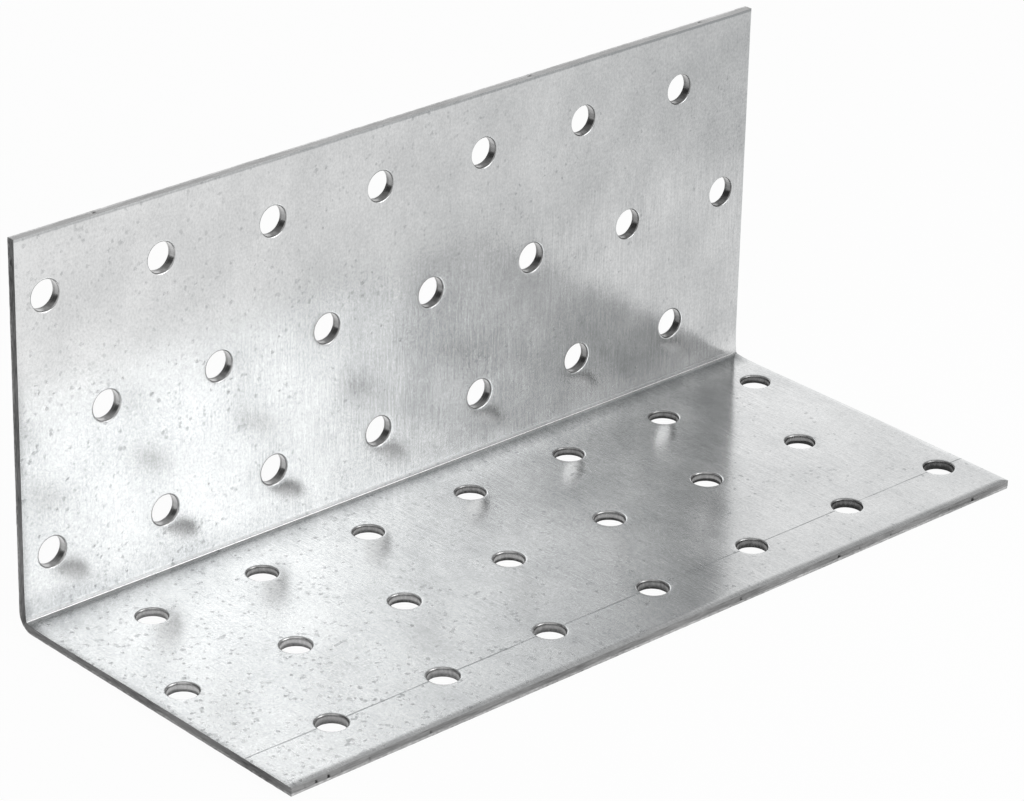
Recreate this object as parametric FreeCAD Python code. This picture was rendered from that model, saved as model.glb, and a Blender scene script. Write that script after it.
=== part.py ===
import FreeCAD, Part
import math
import os

# Angle bracket: one strip of galvanised sheet, sheared to length, punched in the flat
# with a staggered grid of nail holes, and folded once to a right angle.
# Millimetres, +Z up. X runs along the fold, the base leg lies on z = 0 and the back leg
# stands at the +Y side. The origin is the bottom centre of the part's box.

# Sheet and fold
LENGTH = 140.0
BASE_LEG = 60.0
BACK_LEG = 60.0
SHEET = 1.5
BEND_INNER_R = 1.2
NEUTRAL_FACTOR = 0.5

# Punched grid: each row is shifted by half a pitch from the row before it
HOLE_D = 5.0
HOLE_PITCH = 20.0
ROW_PITCH = 19.7
MIN_END_MARGIN = 5.0
MIN_EDGE_MARGIN = 8.0

# Rollover that the punch and the shear leave on the inner faces
EDGE_ROLLOVER_WIDTH = 0.7
EDGE_ROLLOVER_DEPTH = 0.25
HOLE_ROLLOVER_WIDTH = 0.35
HOLE_ROLLOVER_DEPTH = 0.18

# Worked out from the sizes above
BEND_OUTER_R = BEND_INNER_R + SHEET
BEND_ALLOWANCE = math.pi / 2 * (BEND_INNER_R + NEUTRAL_FACTOR * SHEET)
BEND_DEDUCTION = 2 * BEND_OUTER_R - BEND_ALLOWANCE
# In the flat the fold line lies halfway between two rows of the grid
FIRST_ROW = (ROW_PITCH + BEND_DEDUCTION) / 2
LEFT_X = -LENGTH / 2
RIGHT_X = LENGTH / 2
FRONT_Y = -BASE_LEG / 2
BACK_Y = BASE_LEG / 2
WALL_Y = BACK_Y - SHEET
FLOOR_Z = SHEET
# How far a cutting tool reaches past the metal: short enough to pass inside the fold
TOOL_REACH = BEND_INNER_R / 3

ALONG_X = FreeCAD.Vector(1, 0, 0)
ALONG_Y = FreeCAD.Vector(0, 1, 0)
ALONG_Z = FreeCAD.Vector(0, 0, 1)


def section_point(y, z):
    """A point of the folded section, in the plane of the left end."""
    return FreeCAD.Vector(LEFT_X, y, z)


def quarter_arc(start, centre, end):
    """The quarter circle about a centre from one point to another."""
    middle = (start - centre) + (end - centre)
    radius = (start - centre).Length
    return Part.Arc(start, centre + middle.normalize() * radius, end).toShape()


def line(start, end):
    return Part.LineSegment(start, end).toShape()


def folded_strip():
    """The strip with its fold: an L section with concentric bend radii, run along X."""
    outer_front = section_point(FRONT_Y, 0)
    outer_base = section_point(BACK_Y - BEND_OUTER_R, 0)
    outer_back = section_point(BACK_Y, BEND_OUTER_R)
    outer_top = section_point(BACK_Y, BACK_LEG)
    inner_top = section_point(WALL_Y, BACK_LEG)
    inner_back = section_point(WALL_Y, FLOOR_Z + BEND_INNER_R)
    inner_base = section_point(WALL_Y - BEND_INNER_R, FLOOR_Z)
    inner_front = section_point(FRONT_Y, FLOOR_Z)
    bend_centre = section_point(BACK_Y - BEND_OUTER_R, BEND_OUTER_R)
    section = Part.Wire([
        line(outer_front, outer_base),
        quarter_arc(outer_base, bend_centre, outer_back),
        line(outer_back, outer_top),
        line(outer_top, inner_top),
        line(inner_top, inner_back),
        quarter_arc(inner_back, bend_centre, inner_base),
        line(inner_base, inner_front),
        line(inner_front, outer_front),
    ])
    return Part.Face(section).extrude(ALONG_X * LENGTH)


def rollover_face(corner, inward, outward):
    """The sliver lost at a sheared corner: an arc that leaves the sheet's inner face smoothly
    and meets the cut wall at the rollover's depth. Inward points into the sheet from the cut
    wall, and outward points away from the sheet's inner face."""
    width = EDGE_ROLLOVER_WIDTH
    depth = EDGE_ROLLOVER_DEPTH
    radius = (width ** 2 + depth ** 2) / (2 * depth)
    half_turn = math.asin(width / radius) / 2

    def place(across, up):
        return corner + inward * across + outward * up

    on_face = place(width, 0)
    on_arc = place(width - radius * math.sin(half_turn), radius * (math.cos(half_turn) - 1))
    on_wall = place(0, -depth)
    past_wall = place(-TOOL_REACH, -depth)
    past_corner = place(-TOOL_REACH, TOOL_REACH)
    past_face = place(width, TOOL_REACH)
    outline = Part.Wire([
        Part.Arc(on_face, on_arc, on_wall).toShape(),
        line(on_wall, past_wall),
        line(past_wall, past_corner),
        line(past_corner, past_face),
        line(past_face, on_face),
    ])
    return Part.Face(outline)


def free_edge_tools():
    """Rollover along the top edge of the back leg and the front edge of the base leg."""
    start_x = LEFT_X - TOOL_REACH
    run = ALONG_X * (LENGTH + 2 * TOOL_REACH)
    top = rollover_face(FreeCAD.Vector(start_x, WALL_Y, BACK_LEG), -ALONG_Z, -ALONG_Y)
    front = rollover_face(FreeCAD.Vector(start_x, FRONT_Y, FLOOR_Z), ALONG_Y, ALONG_Z)
    return [top.extrude(run), front.extrude(run)]


def end_tool(end_x, inward):
    """Rollover round one sheared end: down the back leg, round the fold, out along the base."""
    above_top = FreeCAD.Vector(end_x, WALL_Y, BACK_LEG + TOOL_REACH)
    bend_top = FreeCAD.Vector(end_x, WALL_Y, FLOOR_Z + BEND_INNER_R)
    bend_front = FreeCAD.Vector(end_x, WALL_Y - BEND_INNER_R, FLOOR_Z)
    past_front = FreeCAD.Vector(end_x, FRONT_Y - TOOL_REACH, FLOOR_Z)
    bend_centre = FreeCAD.Vector(end_x, WALL_Y - BEND_INNER_R, FLOOR_Z + BEND_INNER_R)
    path = Part.Wire([
        line(above_top, bend_top),
        quarter_arc(bend_top, bend_centre, bend_front),
        line(bend_front, past_front),
    ])
    profile = rollover_face(above_top, inward, -ALONG_Y)
    return path.makePipeShell([profile.OuterWire], True, False)


def punch():
    """The punch, on Z, with the sheet's inner face at z = 0 and the metal below it: a straight
    shank, and a flared shoulder for the rollover at the rim of the hole."""
    radius = HOLE_D / 2
    shank_bottom = FreeCAD.Vector(0, 0, -SHEET - TOOL_REACH)
    shank = Part.makeCylinder(radius, SHEET + 2 * TOOL_REACH, shank_bottom)
    flare = HOLE_ROLLOVER_WIDTH / HOLE_ROLLOVER_DEPTH
    shoulder_height = HOLE_ROLLOVER_DEPTH + TOOL_REACH
    shoulder_bottom = FreeCAD.Vector(0, 0, -HOLE_ROLLOVER_DEPTH)
    shoulder = Part.makeCone(radius, radius + flare * shoulder_height, shoulder_height, shoulder_bottom)
    return shank.fuse(shoulder).removeSplitter()


def row_distances(leg):
    """Distances of a leg's rows from the outer face of the other leg."""
    rows = math.floor((leg - FIRST_ROW - MIN_EDGE_MARGIN) / ROW_PITCH) + 1
    return [FIRST_ROW + row * ROW_PITCH for row in range(rows)]


def row_places(shifted):
    """X of the holes in one row: every second column of a grid centred on the length."""
    step = HOLE_PITCH / 2
    columns = math.floor((LENGTH - 2 * MIN_END_MARGIN) / step) + 1
    first_x = -(columns - 1) * step / 2
    return [first_x + column * step for column in range(int(shifted), columns, 2)]


def hole_tools():
    """The punch at every hole. Rows alternate straight across the fold, so the row beside
    the fold starts at the left end on the back leg and half a pitch later on the base leg."""
    tool = punch()
    facing_front = FreeCAD.Rotation(ALONG_X, 90)
    tools = []
    for row, height in enumerate(row_distances(BACK_LEG)):
        for x in row_places(shifted=row % 2 == 1):
            hole = tool.copy()
            hole.Placement = FreeCAD.Placement(FreeCAD.Vector(x, WALL_Y, height), facing_front)
            tools.append(hole)
    for row, distance in enumerate(row_distances(BASE_LEG)):
        for x in row_places(shifted=row % 2 == 0):
            hole = tool.copy()
            hole.translate(FreeCAD.Vector(x, BACK_Y - distance, FLOOR_Z))
            tools.append(hole)
    return tools


def angle_bracket():
    tools = free_edge_tools() + hole_tools()
    tools.append(end_tool(LEFT_X, ALONG_X))
    tools.append(end_tool(RIGHT_X, -ALONG_X))
    return folded_strip().cut(tools).removeSplitter().Solids[0]


os.makedirs("parts", exist_ok=True)
angle_bracket().exportStep("parts/angle_bracket.step")
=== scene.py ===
import math

import bmesh
import bpy
import numpy as np
from mathutils import Matrix, Vector


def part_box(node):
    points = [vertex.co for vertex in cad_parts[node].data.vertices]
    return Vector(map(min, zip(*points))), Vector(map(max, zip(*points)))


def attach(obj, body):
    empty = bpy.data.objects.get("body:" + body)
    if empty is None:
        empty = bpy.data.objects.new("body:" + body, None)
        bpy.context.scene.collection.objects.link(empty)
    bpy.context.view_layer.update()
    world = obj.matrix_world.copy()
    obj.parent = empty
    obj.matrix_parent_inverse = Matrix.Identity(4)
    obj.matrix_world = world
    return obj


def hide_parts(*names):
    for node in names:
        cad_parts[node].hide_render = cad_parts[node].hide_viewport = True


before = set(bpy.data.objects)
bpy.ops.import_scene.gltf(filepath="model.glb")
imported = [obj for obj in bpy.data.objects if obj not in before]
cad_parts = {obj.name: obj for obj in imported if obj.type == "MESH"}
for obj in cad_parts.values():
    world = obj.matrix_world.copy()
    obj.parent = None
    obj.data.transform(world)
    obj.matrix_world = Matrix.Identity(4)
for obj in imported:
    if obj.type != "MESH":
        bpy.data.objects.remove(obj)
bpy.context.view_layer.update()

# The bracket's looks. It is drawn as it is made: a flat strip with u along the fold, v across
# the fold from its middle line and n down from the inner face, all in millimetres, which is
# then folded into the place of the CAD node.
NODE = "angle_bracket"
MM = 0.001
MICROMETRE = 1e-6
low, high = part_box(NODE)
LENGTH, BASE_LEG, BACK_LEG = (high - low) / MM
BACK_Y = high.y / MM

# Sheet and fold. The outer face is bent round one radius. The inner face turns from the back leg
# to the base leg in runs of (degrees, radius): a tight fold with a slight lean above it, that runs
# out on the base leg, where the folding tool pressed it in a little.
SHEET = 1.5
BEND_INNER_R = 1.2
BEND_OUTER_R = BEND_INNER_R + SHEET
HALF_ARC = math.pi / 4 * (BEND_INNER_R + SHEET / 2)
HALF_U = LENGTH / 2
HALF_V = HALF_ARC + BACK_LEG - BEND_OUTER_R
FOLD_RUNS = ((4, 60.0), (4, 15.0), (72, 0.25), (3.5, 9.8), (3, 18.0), (1.2, 33.0), (2.3, 43.0))
FOLD_SINK = 0.18
SINK_REACH = 30.0

# Punched grid, staggered in the flat
HOLE_R = 2.32
HOLE_PITCH = 20.0
ROW_PITCH = 19.7
END_MARGIN = 5.0

# Sheared and punched edges: rollover, burnish, fracture and the rim on the outer face
HOLE_ROLLOVER = (0.28, 0.22)
EDGE_BURNISH = 1.05
HOLE_BURNISH = 1.0
BURNISH_WANDER = 0.05
FRACTURE_STEP = 0.02
EDGE_LEAN = 0.04
HOLE_LEAN = -0.02
FRACTURE_WANDER = 0.01
RIM_ROUND = 0.04
DISH_DEPTH = 0.01
DISH_REACH = 1.1
NICK_TOP = 0.4

# Mesh steps. The lattice is finer within reach of the fold and finest in its tight part. A hole's
# wall takes its bare finish from the steep end of its rollover downwards.
CELL_STEPS = 16
BEND_STEPS = 14
TIGHT_STEPS = 20
EDGE_SPLIT = 6
ROLLOVER_STEPS = 5
DISH_SHARES = (0.66, 0.33, 0.06)
BARE_WALL_BANDS = 4
LATTICE = HOLE_PITCH / CELL_STEPS
EDGE_BAND = LATTICE
EDGE_INSET = 1.23
FOLD_REACH = 5.95
FOLD_TIGHT = 1.1
WELD_DISTANCE = 0.002
SHARP_ANGLE = math.radians(40)

# Steps over which runs of values are smoothed, round a hole and along the edge
HOLE_BORDER_SMOOTH = 3
HOLE_LEAN_SMOOTH = 0.7
EDGE_BORDER_SMOOTH = 6
EDGE_LEAN_SMOOTH = 1.5
EDGE_SOIL_SMOOTH = 12
EDGE_ROLLOVER_SMOOTH = 8

# Sides of the strip: width and depth of rollover, painted light and shade on the cut wall (each side darker
# or lighter as light falls on it), and nicks (side, place, half width, depth)
FRONT, RIGHT, TOP, LEFT = range(4)
SIDE_ROLLOVER = ((1.2, 0.13), (1.0, 0.1), (0.25, 0.025), (1.2, 0.06))
SIDE_PAINTED_SHADING = (0.02, 0.2, -0.25, 0.33)
SIDE_SOIL_WANDER = 0.06
# Painted shade: darker on the back leg's left end, and in each nick by its depth
BACK_END_PAINTED_SHADE = 0.1
NICK_PAINTED_SHADE = 5.0
NICKS = (
    (FRONT, -67.6, 0.18, 0.04),
    (FRONT, -65.7, 0.22, 0.14),
    (FRONT, -63.6, 0.25, 0.20),
    (FRONT, -61.3, 0.18, 0.04),
    (FRONT, -56.4, 0.20, 0.05),
    (FRONT, -45.6, 0.25, 0.08),
    (FRONT, 13.3, 0.25, 0.08),
    (FRONT, 33.5, 0.30, 0.16),
    (FRONT, 37.8, 0.20, 0.05),
    (FRONT, 44.4, 0.22, 0.07),
    (FRONT, 57.0, 0.20, 0.05),
    (FRONT, 62.2, 0.30, 0.16),
    (TOP, -56.1, 0.25, 0.12),
    (TOP, 24.4, 0.40, 0.12),
    (TOP, 59.5, 0.30, 0.10),
    (LEFT, 55.3, 0.50, 0.06),
)

# Painted shade down the wall of each row of holes, counted from the fold: at the rim, at the burnish's end,
# at the fracture's start and at the outer face. The upper part of a hole's wall in the back leg gets
# painted light.
BACK, BASE = 1, -1
HOLE_WALL_PAINTED_SHADE = {
    BACK: ((0.2, 0.2, 0.2, 0.2),) * 3,
    BASE: ((0.05, 0.42, 0.42, 0.62), (-0.1, 0.2, 0.36, 0.66), (0.1, 0.48, 0.42, 0.62)),
}
# Painted shade darker towards the right end, and a random spread from hole to hole
HOLE_WALL_SHADE_SLOPE = 0.0026
HOLE_SOIL_SPREAD = 0.055
UPPER_WALL_PAINTED_LIGHT = 0.6

FACE, EDGE_WALL, EDGE_FRACTURE, HOLE_WALL, HOLE_FRACTURE = range(5)
chance = np.random.default_rng(11)

# Zinc: its two colours, and the number of features per millimetre along and across the fold
ZINC_DARK = (0.30, 0.31, 0.315, 1)
ZINC_LIGHT = (0.78, 0.785, 0.785, 1)
STREAKS = (3.3, 0.17)
STREAK_AREAS = (0.06, 0.045)
CLOUDS = (0.09, 0.07)
MOTTLE = (0.9, 0.8)
GRAIN = (3.0, 2.2)
WAVES = (0.1, 0.07)
FLECKS = (1.6, 1.5)
FLECK_CROWDS = (0.11, 0.1)
FLECK_WARPS = 2.4
FLECK_WARP_REACH = (0.8, 0.8, 0.8)
SCRIBE_WOBBLE = (0.05, 0.0)
SCRIBE_FADING = (0.045, 0.0)

# Ramps in millimetres, where a look of the zinc sets in or ends: along the fold for the dull end
# and the streaks, into the sheet for the inner face, from their own middle for the fold and the
# scribed line, and across the fold for the others. A band lies between two ramps.
RISING = (0.0, 1.0)
FALLING = (1.0, 0.0)
DULL_RAMP = (-50.0, 10.0)
STREAK_RAMP = (-55.0, -10.0)
INNER_RAMP = (0.2, 0.4)
FOLD_MIDDLE = 0.2
FOLD_RAMP = (0.3, 0.45)
SCRIBE_MIDDLE = -2.5 * ROW_PITCH
SCRIBE_RAMP = (0.04, 0.15)
BASE_RAMP = (-2.0, 0.0)
SMOOTH_RAMP = (-45.0, -20.0)
# Painted shade in the fold's corner on the base leg, and painted light and shade on the back leg just above
# the fold
FOLD_CORNER_SHADE_BAND = ((-4.2, -1.0), (-0.9, 0.0))
ABOVE_FOLD_BAND = ((0.0, 1.0), (1.0, 5.0))
UPPER_RAMP = (30.0, 40.0)
TOP_RIM_RAMP = (HALF_V - 0.5, HALF_V - 0.3)

# Cut walls: name, dark and light grey, lines per millimetre along u, v and n, contrast, roughness
CUT_WALLS = (
    ("sheared_wall", 0.03, 0.42, (0.5, 0.5, 7.0), 1.0, 0.35),
    ("sheared_fracture", 0.07, 0.75, (1.5, 1.5, 3.0), 1.0, 0.5),
    ("punched_wall", 0.05, 0.7, (2.5, 2.5, 0.3), 0.5, 0.25),
    ("punched_fracture", 0.04, 0.62, (4.0, 4.0, 3.0), 0.6, 0.4),
)
WALL_TONE = 0.6
WALL_RELIEF = 6 * MICROMETRE

# Camera, fitted to the photograph's holes and corners
CAMERA_PLACE = Vector((-382.275, -410.148, 296.047)) * MM
VIEW_FORWARD = Vector((0.609948, 0.662274, -0.435152))
VIEW_RIGHT = Vector((0.742246, -0.669798, 0.021009))
FOCAL_PIXELS = 4344.1
IMAGE_WIDTH = 1024
SENSOR_WIDTH = 36.0
CLIP_START = 0.01

# A white floor, whose glow in the camera's rays and in mirrored rays leaves a faint shadow
FLOOR_HALF = 3.0
FLOOR_DROP = 0.0001
FLOOR_COLOUR = (0.85, 0.85, 0.85, 1)
FLOOR_GLOW = 0.96

# A room of even light, with more overhead and behind the camera, most on the right behind the
# bracket and less on the left behind it: the way each lies, the cosines over which it sets in
# and its strength
ROOM = 0.35
OVERHEAD = (Vector((0, 0, 1)), (0.52, 0.72), 0.25)
BRIGHT_SIDE = (Vector((0.66, 0.72, 0.1)), (0.82, 0.95), 0.93)
DARK_SIDE = (Vector((-0.6, 0.7, 0.4)), (0.6, 0.85), -0.25)
BEHIND_CAMERA = (-VIEW_FORWARD, (0.7, 0.95), 0.5)

# A wall of soft panels in front on the right: power of each column, from left to right
PANEL_SIZE = (0.06, 0.12)
PANEL_WAY = Vector((0.61, -0.66, 0.435)).normalized()
PANEL_DISTANCE = 0.34
PANEL_TARGET = Vector((0, 0, 0.02))
PANELS_LOW = (0.04, 0.04, 0.085, 0.064, 0.013, 0.006)
PANELS_HIGH = (0.04, 0.04, 0.047, 0.076, 0.044, 0.006)
FIRST_COLUMN = -0.21


def fold_profile():
    """The inner face across the fold: v, distance from the back leg and height over the base leg."""
    degrees, radii = np.repeat(FOLD_RUNS, BEND_STEPS, axis=0).T
    steps = np.radians(degrees) / BEND_STEPS
    turns = np.cumsum(steps) - steps / 2
    lengths = np.concatenate(([0], np.cumsum(radii * steps)))
    from_back = np.concatenate(([0], np.cumsum(radii * steps * np.sin(turns))))
    drop = np.concatenate(([0], np.cumsum(radii * steps * np.cos(turns))))
    from_base = drop[-1] - drop - FOLD_SINK

    # Half the flat strip is longer than a leg's inner face, and the fold takes that up
    flat_gain = HALF_V + SHEET - BACK_LEG
    end = flat_gain + from_base[0]
    start = -flat_gain - from_back[-1]
    v = end + (start - end) * lengths / lengths[-1]

    # Beyond the fold the base leg's face rises to its plane
    rise = np.linspace(0, 1, BEND_STEPS + 1)[1:]
    run_out = (SINK_REACH + start) * rise
    v = np.concatenate(([HALF_V], v, start - run_out, [-HALF_V]))
    from_back = np.concatenate(([0], from_back, from_back[-1] + run_out, [BASE_LEG - SHEET]))
    sunk = FOLD_SINK * (3 * rise**2 - 2 * rise**3 - 1)
    from_base = np.concatenate(([BACK_LEG - SHEET], from_base, sunk, [0]))
    return v[::-1], from_back[::-1], from_base[::-1]


FOLD_V, FROM_BACK, FROM_BASE = fold_profile()


def folded(flat):
    """Flat points (u, v, n) as points of the folded part, in metres."""
    u, v, n = flat.T
    inner_y = BACK_Y - SHEET - np.interp(v, FOLD_V, FROM_BACK)
    inner_z = SHEET + np.interp(v, FOLD_V, FROM_BASE)
    turn = np.clip(v / HALF_ARC + 1, 0, 2) * math.pi / 4
    outer_y = BACK_Y - BEND_OUTER_R * (1 - np.sin(turn)) + np.minimum(v + HALF_ARC, 0)
    outer_z = BEND_OUTER_R * (1 - np.cos(turn)) + np.maximum(v - HALF_ARC, 0)
    share = n / SHEET
    y = inner_y + (outer_y - inner_y) * share
    z = inner_z + (outer_z - inner_z) * share
    return np.column_stack((u, y, z)) * MM


def rollover(size, steps):
    """Distances from the cut wall and depths of an arc from the sheet's face to the wall."""
    width, depth = size
    radius = (width ** 2 + depth ** 2) / (2 * depth)
    turns = np.linspace(0, np.arcsin(width / radius), steps + 1)
    return [(width - radius * np.sin(t), radius * (1 - np.cos(t))) for t in turns]


def smoothed(values, smooth):
    """A closed run of values, each a weighted mean of its neighbours over a number of places."""
    count = len(values)
    reach = np.minimum(np.arange(count), count - np.arange(count))
    kernel = np.exp(-0.5 * (reach / smooth) ** 2)
    return np.fft.ifft(np.fft.fft(values) * np.fft.fft(kernel / kernel.sum())).real


def wander(count, smooth):
    """A closed run of random values, smoothed over a number of neighbours, about -2 to 2."""
    values = smoothed(chance.normal(size=count), smooth)
    return np.clip(values / values.std(), -2, 2)


class Strip:
    """Points and faces of the flat strip, each face with its finish."""

    def __init__(self):
        self.points = []
        self.shades_and_dirt = []
        self.count = 0
        self.faces = []
        self.finishes = []

    def add(self, points, shade_and_dirt=0.0):
        start = self.count
        self.points.append(points)
        self.shades_and_dirt.append(np.broadcast_to(shade_and_dirt, len(points)))
        self.count += len(points)
        return start

    def rings(self, loops, finishes, shades_and_dirt):
        """Closed loops of points, one after another, joined by bands of quads."""
        size = len(loops[0])
        start = self.add(np.concatenate(loops), np.concatenate(shades_and_dirt))
        here = np.arange(size)
        following = (here + 1) % size
        for band, finish in enumerate(finishes):
            first = start + band * size
            second = first + size
            quads = np.column_stack((first + here, first + following, second + following, second + here))
            self.faces += quads.tolist()
            self.finishes += [finish] * size

    def grid(self, us, vs, n):
        u, v = np.meshgrid(us, vs)
        start = self.add(np.column_stack((u.ravel(), v.ravel(), np.full(u.size, n))))
        width = len(us)
        for row in range(len(vs) - 1):
            for column in range(width - 1):
                corner = start + row * width + column
                self.faces.append([corner, corner + 1, corner + width + 1, corner + width])
                self.finishes.append(FACE)


def at_depth(loop, n):
    return np.column_stack((loop, np.broadcast_to(n, len(loop))))


def rectangle(us, vs):
    """The closed outline of a lattice block, from its low corner and turning left."""
    low_side = [(u, vs[0]) for u in us[:-1]]
    right_side = [(us[-1], v) for v in vs[:-1]]
    high_side = [(u, vs[-1]) for u in us[:0:-1]]
    left_side = [(us[0], v) for v in vs[:0:-1]]
    return np.array(low_side + right_side + high_side + left_side)


def hole_cell(strip, centre, us, vs, shades_and_dirt):
    """One hole with the block of sheet round it: inner face, rim, wall and outer face."""
    outline = rectangle(us, vs)
    size = len(outline)
    steps = 2 * math.pi * np.arange(size) / size
    away = outline - centre
    bearing = np.unwrap(np.arctan2(away[:, 1], away[:, 0]))
    angles = steps + np.mean(bearing - steps)
    spoke = np.column_stack((np.cos(angles), np.sin(angles)))

    def circle(radius, n):
        return at_depth(centre + spoke * np.broadcast_to(radius, size)[:, None], n)

    width = HOLE_ROLLOVER[0]
    dish_r = HOLE_R + DISH_REACH
    halfway = outline + (centre + spoke * dish_r - outline) * 0.5
    inner = [at_depth(outline, 0), at_depth(halfway, 0), circle(dish_r, 0)]
    for share in DISH_SHARES:
        sag = DISH_DEPTH * (1 - share) ** 2
        inner.append(circle(HOLE_R + width + (DISH_REACH - width) * share, sag))
    for distance, depth in rollover(HOLE_ROLLOVER, ROLLOVER_STEPS):
        inner.append(circle(HOLE_R + distance, DISH_DEPTH + depth))
    border = HOLE_BURNISH + BURNISH_WANDER * wander(size, HOLE_BORDER_SMOOTH)
    lean = HOLE_LEAN + FRACTURE_WANDER * wander(size, HOLE_LEAN_SMOOTH)
    step = [circle(HOLE_R, border), circle(HOLE_R + FRACTURE_STEP, border + FRACTURE_STEP)]
    outer = [circle(HOLE_R + lean, SHEET - RIM_ROUND), circle(HOLE_R + lean + RIM_ROUND, SHEET)]
    outer += [circle(HOLE_R + width, SHEET), circle(dish_r, SHEET), at_depth(outline, SHEET)]
    finishes = [FACE] * (len(inner) - BARE_WALL_BANDS) + [HOLE_WALL] * BARE_WALL_BANDS
    finishes += [HOLE_FRACTURE] * 3 + [FACE] * 3

    # Painted shade darker towards the right end with a random spread, less on the upper part of a back-leg
    # hole's wall where light is painted
    shift = HOLE_WALL_SHADE_SLOPE * centre[0] + chance.uniform(-HOLE_SOIL_SPREAD, HOLE_SOIL_SPREAD)
    upper_wall_light = UPPER_WALL_PAINTED_LIGHT * np.maximum(spoke[:, 1], 0) * (centre[1] > 0)
    at_rim, at_border, at_fracture, at_outer = [shade_and_dirt + shift - upper_wall_light for shade_and_dirt in shades_and_dirt]
    ring_shade_and_dirt = [at_rim] * len(inner) + [at_border, at_fracture] + [at_outer] * len(outer)
    strip.rings(inner + step + outer, finishes, ring_shade_and_dirt)


def edge_strip(strip, us, vs):
    """The sheared edge all round the strip, in finer steps than the lattice inside it."""
    coarse = rectangle(us, vs) / (us[-1], vs[-1])
    fine = []
    starts = []
    for here, following in zip(coarse, np.roll(coarse, -1, axis=0)):
        furthest = max(abs(here[1]), abs(following[1])) * vs[-1]
        in_bend = np.isclose(here[0], following[0]) and furthest < FOLD_REACH + LATTICE / 2
        parts = 1 if in_bend else EDGE_SPLIT
        starts.append(len(fine))
        fine += [here + (following - here) * part / parts for part in range(parts)]
    fine = np.array(fine)
    starts.append(len(fine))
    size = len(fine)

    def inset(distance, n):
        distance = np.broadcast_to(distance, size)
        return at_depth(fine * np.column_stack((HALF_U - distance, HALF_V - distance)), n)

    on_end = np.isclose(np.abs(fine[:, 0]), 1)
    side = np.where(on_end, np.where(fine[:, 0] > 0, RIGHT, LEFT), np.where(fine[:, 1] > 0, TOP, FRONT))
    place = np.where(on_end, fine[:, 1] * HALF_V, fine[:, 0] * HALF_U)
    notch = np.zeros(size)
    # Painted light and shade by side with a random wander, and more painted shade on the back leg's left
    # end and in the nicks
    shade_and_dirt = np.array(SIDE_PAINTED_SHADING)[side] + SIDE_SOIL_WANDER * wander(size, EDGE_SOIL_SMOOTH)
    shade_and_dirt += BACK_END_PAINTED_SHADE * ((side == LEFT) & (place > 0))
    for nick_side, nick_place, half_width, depth in NICKS:
        share = np.where(side == nick_side, 1 - ((place - nick_place) / half_width) ** 2, 0)
        notch += depth * np.maximum(share, 0)

    size_along = [smoothed(np.array(values)[side], EDGE_ROLLOVER_SMOOTH) for values in zip(*SIDE_ROLLOVER)]
    rounded = [inset(distance, depth) for distance, depth in rollover(size_along, ROLLOVER_STEPS)]
    border = EDGE_BURNISH + BURNISH_WANDER * wander(size, EDGE_BORDER_SMOOTH)
    lean = EDGE_LEAN + FRACTURE_WANDER * wander(size, EDGE_LEAN_SMOOTH)
    above = [inset(EDGE_INSET, 0)] + rounded + [inset(0, NICK_TOP)]
    nicked = [inset(notch, (NICK_TOP + border) / 2), inset(notch, border)]
    below = [inset(notch * 0.5 + FRACTURE_STEP, border + FRACTURE_STEP), inset(lean, SHEET - RIM_ROUND)]
    below += [inset(lean + RIM_ROUND, SHEET), inset(EDGE_INSET, SHEET)]
    loops = above + nicked + below
    finishes = [FACE] * len(rounded) + [EDGE_WALL] * 3 + [EDGE_FRACTURE] * 3 + [FACE]
    ring_shade_and_dirt = [shade_and_dirt] * len(above) + [shade_and_dirt + NICK_PAINTED_SHADE * notch] * len(nicked) + [shade_and_dirt] * len(below)
    strip.rings(loops, finishes, ring_shade_and_dirt)
    first = strip.count - size * len(loops)
    last = strip.count - size
    for fine_start, n in ((first, 0), (last, SHEET)):
        start = strip.add(at_depth(coarse * (us[-1], vs[-1]), n))
        for index in range(len(coarse)):
            run = [fine_start + step % size for step in range(starts[index], starts[index + 1] + 1)]
            strip.faces.append([start + (index + 1) % len(coarse), start + index] + run)
            strip.finishes.append(FACE)


def bracket_strip():
    strip = Strip()
    us = np.linspace(-HALF_U, HALF_U, round(LENGTH / LATTICE) + 1)[1:-1]
    band_edges = [FOLD_REACH, ROW_PITCH, 2 * ROW_PITCH, HALF_V - EDGE_BAND]
    bands = []
    for first, last in zip(band_edges, band_edges[1:]):
        bands.append(np.linspace(first, last, round((last - first) / LATTICE) + 1))
    half_bend = np.concatenate((np.linspace(0, FOLD_TIGHT, TIGHT_STEPS + 1),
                                np.linspace(FOLD_TIGHT, FOLD_REACH, BEND_STEPS + 1)[1:]))
    bend = np.concatenate((-half_bend[:0:-1], half_bend))
    for n in (0, SHEET):
        strip.grid(us, bend, n)
    for leg in (BACK, BASE):
        for row, band in enumerate(bands):
            v = leg * (row + 0.5) * ROW_PITCH
            vs = np.sort(leg * band)
            shifted = (row % 2 == 1) == (leg == BACK)
            first_u = END_MARGIN - HALF_U + (HOLE_PITCH / 2 if shifted else 0)
            hole_us = np.arange(first_u, HALF_U, HOLE_PITCH)
            for hole_u in hole_us:
                left = -HALF_U if hole_u == hole_us[0] else hole_u - HOLE_PITCH / 2
                right = HALF_U if hole_u == hole_us[-1] else hole_u + HOLE_PITCH / 2
                inside = us[(us > left - LATTICE / 2) & (us < right + LATTICE / 2)]
                hole_cell(strip, np.array((hole_u, v)), inside, vs, HOLE_WALL_PAINTED_SHADE[leg][row])
    up = np.unique(np.concatenate([bend[bend > 0][:-1]] + bands))
    vs = np.concatenate((-up[::-1], [0.0], up))
    edge_strip(strip, us, vs)
    return strip


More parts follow.
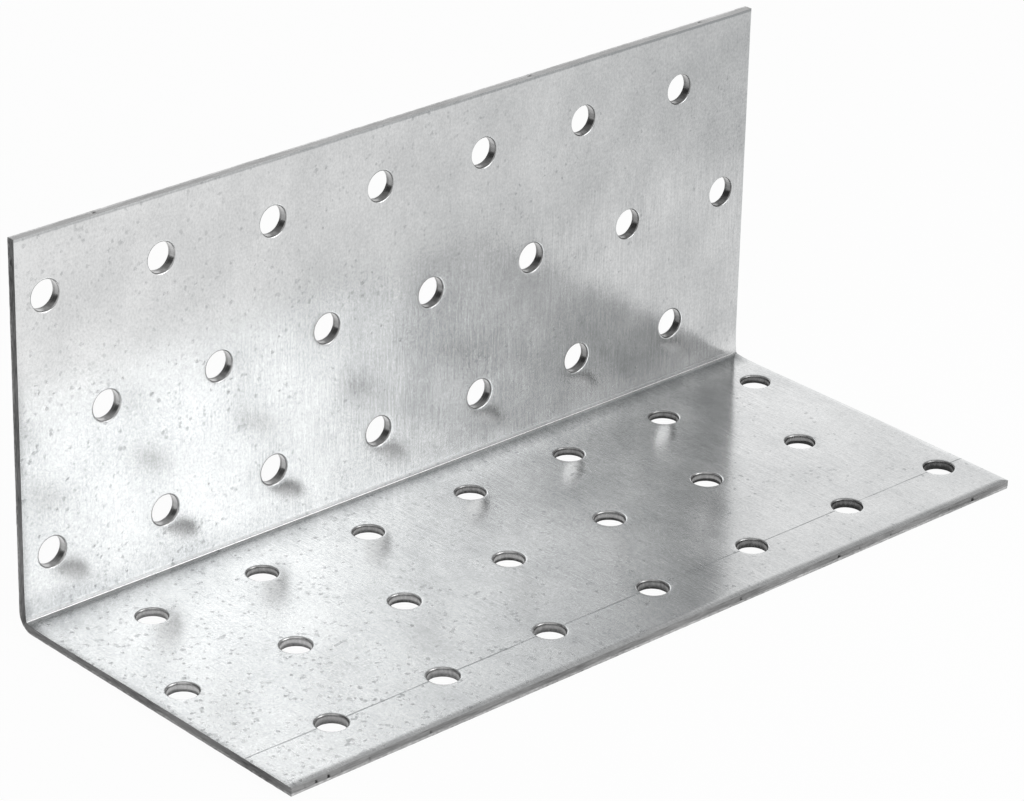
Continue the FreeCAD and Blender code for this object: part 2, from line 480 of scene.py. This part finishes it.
def bracket_object():
    strip = bracket_strip()
    flat = np.concatenate(strip.points)
    mesh = bpy.data.meshes.new("folded_bracket")
    mesh.from_pydata(folded(flat).tolist(), [], strip.faces)
    mesh.polygons.foreach_set("material_index", strip.finishes)
    attribute = mesh.attributes.new("flat", "FLOAT_VECTOR", "POINT")
    attribute.data.foreach_set("vector", flat.astype(np.float32).ravel())
    attribute = mesh.attributes.new("shade_and_dirt", "FLOAT", "POINT")
    attribute.data.foreach_set("value", np.concatenate(strip.shades_and_dirt).astype(np.float32))
    shape = bmesh.new()
    shape.from_mesh(mesh)
    bmesh.ops.remove_doubles(shape, verts=shape.verts, dist=WELD_DISTANCE * MM)
    bmesh.ops.recalc_face_normals(shape, faces=shape.faces)
    shape.to_mesh(mesh)
    shape.free()
    mesh.shade_smooth()
    mesh.set_sharp_from_angle(angle=SHARP_ANGLE)
    piece = bpy.data.objects.new("folded_bracket", mesh)
    bpy.context.scene.collection.objects.link(piece)
    return piece


class Nodes:
    """A material's nodes, added by short calls."""

    def __init__(self, name):
        self.material = bpy.data.materials.new(name)
        self.material.use_nodes = True
        self.tree = self.material.node_tree
        self.shader = self.tree.nodes["Principled BSDF"]

    def add(self, kind, **settings):
        node = self.tree.nodes.new(kind)
        for key, value in settings.items():
            setattr(node, key, value)
        return node

    def link(self, source, target):
        self.tree.links.new(source, target)

    def flat(self, scale):
        """The flat strip's coordinates in millimetres, times a scale per axis."""
        source = self.add("ShaderNodeAttribute", attribute_name="flat")
        mapping = self.add("ShaderNodeMapping")
        mapping.inputs["Scale"].default_value = tuple(scale) + (0.0,) * (3 - len(scale))
        self.link(source.outputs["Vector"], mapping.inputs["Vector"])
        return mapping.outputs["Vector"]

    def axes(self):
        """The flat strip's u, v and n in millimetres."""
        parts = self.add("ShaderNodeSeparateXYZ")
        self.link(self.flat((1, 1, 1)), parts.inputs["Vector"])
        return parts.outputs

    def noise(self, scale, detail, roughness=0.5):
        """Noise over the flat strip, about 0.5, with the wanted number of features per millimetre."""
        node = self.add("ShaderNodeTexNoise", noise_dimensions="2D" if len(scale) == 2 else "3D")
        node.inputs["Scale"].default_value = 1.0
        node.inputs["Detail"].default_value = detail
        node.inputs["Roughness"].default_value = roughness
        self.link(self.flat(scale), node.inputs["Vector"])
        return node.outputs["Fac"]

    def ripple(self, scale, detail, roughness=0.5):
        """The same noise, about 0."""
        return self.math("SUBTRACT", self.noise(scale, detail, roughness), 0.5)

    def remap(self, value, source, target):
        node = self.add("ShaderNodeMapRange")
        for key, number in zip(("From Min", "From Max", "To Min", "To Max"), source + target):
            node.inputs[key].default_value = number
        self.link(value, node.inputs["Value"])
        return node.outputs["Result"]

    def band(self, value, rise, fall):
        """1 between two ramps of a value and 0 outside them."""
        return self.math("MINIMUM", self.remap(value, rise, RISING), self.remap(value, fall, FALLING))

    def sum(self, terms):
        """A number plus values, each times its own factor."""
        total = terms[0]
        for value, factor in terms[1:]:
            node = self.add("ShaderNodeMath", operation="MULTIPLY_ADD")
            node.inputs[1].default_value = factor
            self.link(value, node.inputs[0])
            if isinstance(total, float):
                node.inputs[2].default_value = total
            else:
                self.link(total, node.inputs[2])
            total = node.outputs["Value"]
        return total

    def product(self, *values):
        total = values[0]
        for value in values[1:]:
            total = self.math("MULTIPLY", total, value)
        return total

    def distance(self, value, place):
        return self.math("ABSOLUTE", self.math("SUBTRACT", value, place), 0.0)

    def math(self, operation, first, second):
        node = self.add("ShaderNodeMath", operation=operation)
        for socket, value in zip(node.inputs, (first, second)):
            if isinstance(value, (int, float)):
                socket.default_value = value
            else:
                self.link(value, socket)
        return node.outputs["Value"]

    def colour(self, tone, dark, light):
        """The shader's colour, by a tone from 0, dark, to 1, light."""
        node = self.add("ShaderNodeMix", data_type="RGBA")
        node.inputs["A"].default_value = dark
        node.inputs["B"].default_value = light
        self.link(tone, node.inputs["Factor"])
        self.link(node.outputs["Result"], self.shader.inputs["Base Color"])

    def bump(self, height, unit):
        """The shader's relief, by a height in units of so many metres."""
        node = self.add("ShaderNodeBump")
        node.inputs["Strength"].default_value = 1.0
        node.inputs["Distance"].default_value = unit
        self.link(height, node.inputs["Height"])
        self.link(node.outputs["Normal"], self.shader.inputs["Normal"])


def zinc():
    """Hot-dip zinc on rolled sheet: streaks across the fold, clouds, grain and grey flecks."""
    nodes = Nodes("galvanised_zinc")
    nodes.shader.inputs["Metallic"].default_value = 1.0
    u, v, n = nodes.axes()

    # Parts of the strip: the fold, the base leg with its smooth part near the fold, its dull end and
    # a band of painted shade in the fold's corner, painted light and shade on the back leg above the fold,
    # and the back leg's upper part with its painted light and shade and a darker rim along the top edge
    fold = nodes.remap(nodes.distance(v, FOLD_MIDDLE), FOLD_RAMP, FALLING)
    base = nodes.remap(v, BASE_RAMP, FALLING)
    near_fold = nodes.product(base, nodes.remap(v, SMOOTH_RAMP, RISING))
    dull_end = nodes.product(base, nodes.remap(u, DULL_RAMP, FALLING))
    fold_corner_shade = nodes.band(v, *FOLD_CORNER_SHADE_BAND)
    fold_corner_shade_slant = nodes.product(fold_corner_shade, u)
    above_fold_light_and_shade = nodes.band(v, *ABOVE_FOLD_BAND)
    above_fold_light_slant = nodes.product(above_fold_light_and_shade, u)
    upper = nodes.remap(v, UPPER_RAMP, RISING)
    upper_light_slant = nodes.product(upper, u)
    top_rim_dark = nodes.remap(v, TOP_RIM_RAMP, RISING)

    # Streaks, weaker in places, on one end and on the upper back leg, and none in the fold
    streak_area = nodes.remap(nodes.noise(STREAK_AREAS, 2), (0.42, 0.6), (0.6, 1.0))
    streak_end = nodes.remap(u, STREAK_RAMP, (0.4, 1.0))
    off_fold = nodes.sum((1.0, (fold, -1.0)))
    off_upper = nodes.sum((1.0, (upper, -0.7)))
    streaks = nodes.product(streak_area, streak_end, off_fold, off_upper, nodes.ripple(STREAKS, 2, 0.7))

    clouds = nodes.ripple(CLOUDS, 4, 0.6)
    mottle = nodes.ripple(MOTTLE, 2)
    grain = nodes.ripple(GRAIN, 1)
    waves = nodes.noise(WAVES, 1)
    fleck = flecks(nodes, u, base)
    scribe = scribe_line(nodes, v, n)

    # Painted shade in the fold's corner grows darker towards the right end; painted light and shade above
    # the fold is darker on the left and lighter on the right; painted light and shade on the upper back leg
    # is lighter on the left and darker on the right
    tone = nodes.sum((
        0.55, (streaks, 0.55), (clouds, 0.5), (mottle, 0.18), (grain, 0.38), (fleck, -0.32), (scribe, -0.7),
        (fold, 0.06), (fold_corner_shade, -0.25), (fold_corner_shade_slant, -0.004), (above_fold_light_and_shade, -0.1), (above_fold_light_slant, 0.005),
        (upper, 0.08), (upper_light_slant, -0.0042), (top_rim_dark, -0.45),
    ))
    nodes.colour(tone, ZINC_DARK, ZINC_LIGHT)
    roughness = nodes.sum((
        0.19, (near_fold, -0.03), (dull_end, 0.07), (clouds, 0.1), (streaks, 0.06), (fleck, 0.1),
        (scribe, 0.15), (fold, 0.14),
    ))
    nodes.link(roughness, nodes.shader.inputs["Roughness"])
    height = nodes.sum((0.0, (streaks, 3.0), (grain, 2.0), (waves, 12.0)))
    nodes.bump(height, MICROMETRE)
    return nodes.material


def flecks(nodes, u, base):
    """Small grey flecks of different sizes, denser on one end of the sheet and larger on the base leg."""
    warp = nodes.add("ShaderNodeTexNoise", noise_dimensions="2D")
    warp.inputs["Scale"].default_value = FLECK_WARPS
    nodes.link(nodes.flat((1, 1)), warp.inputs["Vector"])
    shift = nodes.add("ShaderNodeVectorMath", operation="MULTIPLY_ADD")
    shift.inputs[1].default_value = FLECK_WARP_REACH
    nodes.link(warp.outputs["Color"], shift.inputs[0])
    nodes.link(nodes.flat(FLECKS), shift.inputs[2])
    cells = nodes.add("ShaderNodeTexVoronoi", voronoi_dimensions="2D")
    cells.inputs["Scale"].default_value = 1.0
    nodes.link(shift.outputs["Vector"], cells.inputs["Vector"])
    luck = nodes.add("ShaderNodeSeparateColor")
    nodes.link(cells.outputs["Color"], luck.inputs["Color"])
    crowd = nodes.noise(FLECK_CROWDS, 3)
    reach = nodes.sum((-4.12, (luck.outputs["Red"], 4.0), (crowd, 1.1), (u, -0.0028), (base, 0.1)))
    inside = nodes.math("SUBTRACT", reach, cells.outputs["Distance"])
    depth = nodes.remap(inside, (-0.2, 0.2), RISING)
    return nodes.product(depth, nodes.remap(luck.outputs["Green"], (0.0, 1.0), (0.25, 1.0)))


def scribe_line(nodes, v, n):
    """A scratched line through the centres of the row nearest the base leg's free edge."""
    wobble = nodes.ripple(SCRIBE_WOBBLE, 2)
    offset = nodes.sum((-SCRIBE_MIDDLE, (v, 1.0), (wobble, 0.5)))
    core = nodes.remap(nodes.math("ABSOLUTE", offset, 0.0), SCRIBE_RAMP, FALLING)
    fading = nodes.remap(nodes.noise(SCRIBE_FADING, 3), (0.36, 0.56), (0.15, 1.0))
    inner = nodes.remap(n, INNER_RAMP, FALLING)
    return nodes.product(core, fading, inner)


def cut_wall(name, dark, light, grain_scale, contrast, roughness):
    """A bare cut surface between two greys, with drawn lines along one way, darker by its painted shade and
    dirt.
    """
    nodes = Nodes(name)
    nodes.shader.inputs["Metallic"].default_value = 1.0
    nodes.shader.inputs["Roughness"].default_value = roughness
    lines = nodes.noise(grain_scale, 3, 0.6)
    shade_and_dirt = nodes.add("ShaderNodeAttribute", attribute_name="shade_and_dirt")
    tone = nodes.sum((WALL_TONE - contrast / 2, (lines, contrast), (shade_and_dirt.outputs["Fac"], -1.0)))
    nodes.colour(tone, (dark, dark, dark, 1), (light, light, light, 1))
    nodes.bump(lines, WALL_RELIEF * contrast)
    return nodes.material


def finish_materials():
    """The bracket's materials, in the order of the finish numbers."""
    return [zinc()] + [cut_wall(*wall) for wall in CUT_WALLS]


def camera():
    data = bpy.data.cameras.new("camera")
    data.sensor_fit = "HORIZONTAL"
    data.sensor_width = SENSOR_WIDTH
    data.lens = SENSOR_WIDTH * FOCAL_PIXELS / IMAGE_WIDTH
    data.clip_start = CLIP_START
    view = bpy.data.objects.new("camera", data)
    right = VIEW_RIGHT.normalized()
    back = -VIEW_FORWARD.normalized()
    up = back.cross(right)
    turn = Matrix((right, up, back)).transposed()
    view.matrix_world = Matrix.Translation(CAMERA_PLACE) @ turn.to_4x4()
    bpy.context.scene.collection.objects.link(view)
    bpy.context.scene.camera = view


def seen_rays(nodes):
    """1 for rays from the camera or a mirror-like surface, else 0."""
    paths = nodes.add("ShaderNodeLightPath")
    seen = nodes.math("MAXIMUM", paths.outputs["Is Camera Ray"], paths.outputs["Is Glossy Ray"])
    return nodes.math("MAXIMUM", seen, paths.outputs["Is Transmission Ray"])


def floor():
    mesh = bpy.data.meshes.new("floor")
    corners = [(-1, -1), (1, -1), (1, 1), (-1, 1)]
    points = [(x * FLOOR_HALF, y * FLOOR_HALF, -FLOOR_DROP) for x, y in corners]
    mesh.from_pydata(points, [], [(0, 1, 2, 3)])
    plane = bpy.data.objects.new("floor", mesh)
    bpy.context.scene.collection.objects.link(plane)
    nodes = Nodes("floor_white")
    diffuse = nodes.add("ShaderNodeBsdfDiffuse")
    diffuse.inputs["Color"].default_value = FLOOR_COLOUR
    glow = nodes.add("ShaderNodeEmission")
    glow.inputs["Strength"].default_value = 1.0
    mix = nodes.add("ShaderNodeMixShader")
    nodes.link(nodes.math("MULTIPLY", seen_rays(nodes), FLOOR_GLOW), mix.inputs["Fac"])
    nodes.link(diffuse.outputs["BSDF"], mix.inputs[1])
    nodes.link(glow.outputs["Emission"], mix.inputs[2])
    nodes.link(mix.outputs["Shader"], nodes.tree.nodes["Material Output"].inputs["Surface"])
    mesh.materials.append(nodes.material)


def world_light(tree, way, cosines, strength):
    """Strength added by the part of the world that lies a way."""
    coords = tree.nodes.new("ShaderNodeTexCoord")
    facing = tree.nodes.new("ShaderNodeVectorMath")
    facing.operation = "DOT_PRODUCT"
    facing.inputs[1].default_value = way.normalized()
    tree.links.new(coords.outputs["Generated"], facing.inputs[0])
    share = tree.nodes.new("ShaderNodeMapRange")
    share.interpolation_type = "SMOOTHSTEP"
    share.inputs["From Min"].default_value = cosines[0]
    share.inputs["From Max"].default_value = cosines[1]
    share.inputs["To Max"].default_value = strength
    tree.links.new(facing.outputs["Value"], share.inputs["Value"])
    return share.outputs["Result"]


def room():
    world = bpy.data.worlds.new("studio")
    bpy.context.scene.world = world
    world.use_nodes = True
    tree = world.node_tree
    background = tree.nodes["Background"]
    background.inputs["Color"].default_value = (1, 1, 1, 1)
    total = None
    for light in (OVERHEAD, BRIGHT_SIDE, DARK_SIDE, BEHIND_CAMERA):
        added = tree.nodes.new("ShaderNodeMath")
        added.inputs[1].default_value = ROOM
        tree.links.new(world_light(tree, *light), added.inputs[0])
        if total:
            tree.links.new(total, added.inputs[1])
        total = added.outputs["Value"]
    tree.links.new(total, background.inputs["Strength"])


def softbox(name, place, size, power):
    data = bpy.data.lights.new(name, "AREA")
    data.shape = "RECTANGLE"
    data.size, data.size_y = size
    data.energy = power
    lamp = bpy.data.objects.new(name, data)
    lamp.location = place
    lamp.rotation_euler = (PANEL_TARGET - place).to_track_quat("-Z", "Y").to_euler()
    lamp.visible_camera = False
    bpy.context.scene.collection.objects.link(lamp)


def panels():
    along = Vector((-PANEL_WAY.y, PANEL_WAY.x, 0)).normalized()
    up = PANEL_WAY.cross(along)
    middle = PANEL_TARGET + PANEL_WAY * PANEL_DISTANCE
    width, height = PANEL_SIZE
    for level, powers in ((-0.5, PANELS_LOW), (0.5, PANELS_HIGH)):
        for column, power in enumerate(powers):
            place = middle + along * (FIRST_COLUMN + column * width) + up * level * height
            softbox("panel", place, PANEL_SIZE, power)


bracket = bracket_object()
for material in finish_materials():
    bracket.data.materials.append(material)
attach(bracket, "root")
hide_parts(NODE)
floor()
camera()
room()
panels()
bpy.context.scene.view_settings.view_transform = "Standard"
